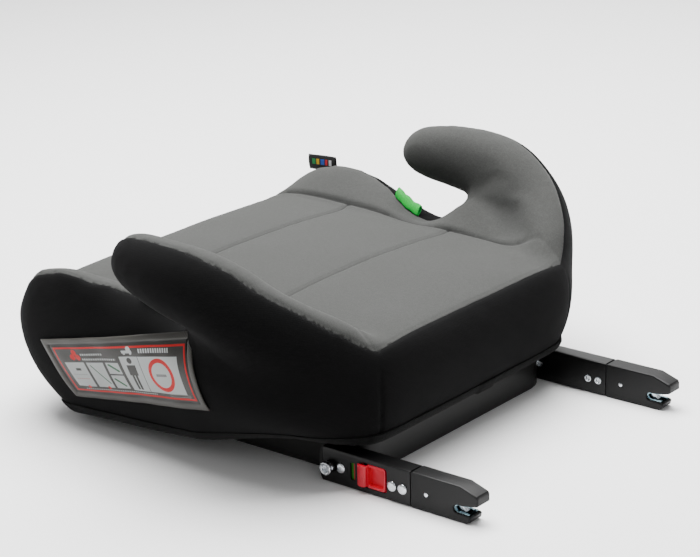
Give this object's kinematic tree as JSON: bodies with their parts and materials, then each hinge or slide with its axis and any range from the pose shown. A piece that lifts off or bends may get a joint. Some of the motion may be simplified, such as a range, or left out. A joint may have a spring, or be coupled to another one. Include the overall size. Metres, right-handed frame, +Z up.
{
  "type": "booster seat",
  "caption": "Backless car booster seat: padded fabric cover with two armrests on a plastic base, with folding steel anchor arms at the rear.",
  "frame": {"origin": "on the floor, under the middle of the object's bounding box", "axes": "+Z up; -Y towards the front edge, where the legs hang; +X towards the child's left"},
  "size_m": [0.4538, 0.4781, 0.196],
  "materials": {
    "grey_fabric": "woven, melange grey",
    "black_fabric": "knitted, black",
    "elastic": "ribbed elastic, black",
    "label": "printed textile",
    "green_fabric": "woven ribbon, green",
    "foam": "open-cell foam",
    "base_plastic": "moulded polypropylene, satin",
    "arm_plastic": "moulded, fine grain",
    "painted_steel": "black powder coat",
    "steel": "bright",
    "bolt_steel": "nickel plated",
    "zinc": "zinc plated",
    "flag_red": "red and green print",
    "red_plastic": "moulded, red"
  },
  "bodies": {
    "seat": {"base_shell": "base_plastic", "base_frame": "base_plastic", "armrest_core_left": "base_plastic", "armrest_core_right": "base_plastic", "seat_foam": "foam", "armrest_foam_left": "foam", "armrest_foam_right": "foam", "cover_top_panel": "grey_fabric", "cover_skirt": "black_fabric", "hem_elastic": "elastic", "instruction_label": "label", "side_tag": "label", "belt_marker_left": "green_fabric", "belt_marker_right": "green_fabric", "cross_tube": "steel", "tube_saddle_left": "base_plastic", "saddle_screw_left_front": "steel", "saddle_screw_left_rear": "steel", "pivot_bolt_left": "bolt_steel", "pivot_spacer_left": "arm_plastic", "tube_saddle_right": "base_plastic", "saddle_screw_right_front": "steel", "saddle_screw_right_rear": "steel", "pivot_bolt_right": "bolt_steel", "pivot_spacer_right": "arm_plastic"},
    "arm_left": {"arm_tube_left": "painted_steel", "end_plug_left": "arm_plastic", "nose_cover_left": "arm_plastic", "nose_pin_left": "zinc", "side_plate_inner_left": "zinc", "side_plate_outer_left": "zinc", "hook_pin_left": "zinc", "rivet_front_left": "zinc", "rivet_middle_left": "zinc", "rivet_rear_left": "zinc", "return_spring_left": "steel"},
    "hook_left": {"latch_hook_left": "zinc"},
    "button_left": {"release_button_left": "red_plastic", "lock_plate_left": "zinc", "indicator_flag_left": "flag_red"},
    "arm_right": {"arm_tube_right": "painted_steel", "end_plug_right": "arm_plastic", "nose_cover_right": "arm_plastic", "nose_pin_right": "zinc", "side_plate_inner_right": "zinc", "side_plate_outer_right": "zinc", "hook_pin_right": "zinc", "rivet_front_right": "zinc", "rivet_middle_right": "zinc", "rivet_rear_right": "zinc", "return_spring_right": "steel"},
    "hook_right": {"latch_hook_right": "zinc"},
    "button_right": {"release_button_right": "red_plastic", "lock_plate_right": "zinc", "indicator_flag_right": "flag_red"}
  },
  "joints": [
    {"name": "arm_fold_left", "type": "hinge", "parent": "seat", "child": "arm_left", "pos_m": [0.14, 0.096, 0.015], "axis": [-1, 0, 0], "range_deg": [0, 180]},
    {"name": "hook_turn_left", "type": "hinge", "parent": "arm_left", "child": "hook_left", "pos_m": [0.14, 0.219, 0.0205], "axis": [-1, 0, 0], "range_deg": [0, 38], "stiffness_Nm_per_rad": 0.05},
    {"name": "release_left", "type": "slide", "parent": "arm_left", "child": "button_left", "axis": [0, -1, 0], "range_m": [0, 0.006], "stiffness_N_per_m": 300, "deforming": ["return_spring_left"]},
    {"name": "arm_fold_right", "type": "hinge", "parent": "seat", "child": "arm_right", "pos_m": [-0.14, 0.096, 0.015], "axis": [-1, 0, 0], "range_deg": [0, 180]},
    {"name": "hook_turn_right", "type": "hinge", "parent": "arm_right", "child": "hook_right", "pos_m": [-0.14, 0.219, 0.0205], "axis": [-1, 0, 0], "range_deg": [0, 38], "stiffness_Nm_per_rad": 0.05},
    {"name": "release_right", "type": "slide", "parent": "arm_right", "child": "button_right", "axis": [0, -1, 0], "range_m": [0, 0.006], "stiffness_N_per_m": 300, "deforming": ["return_spring_right"]}
  ]
}
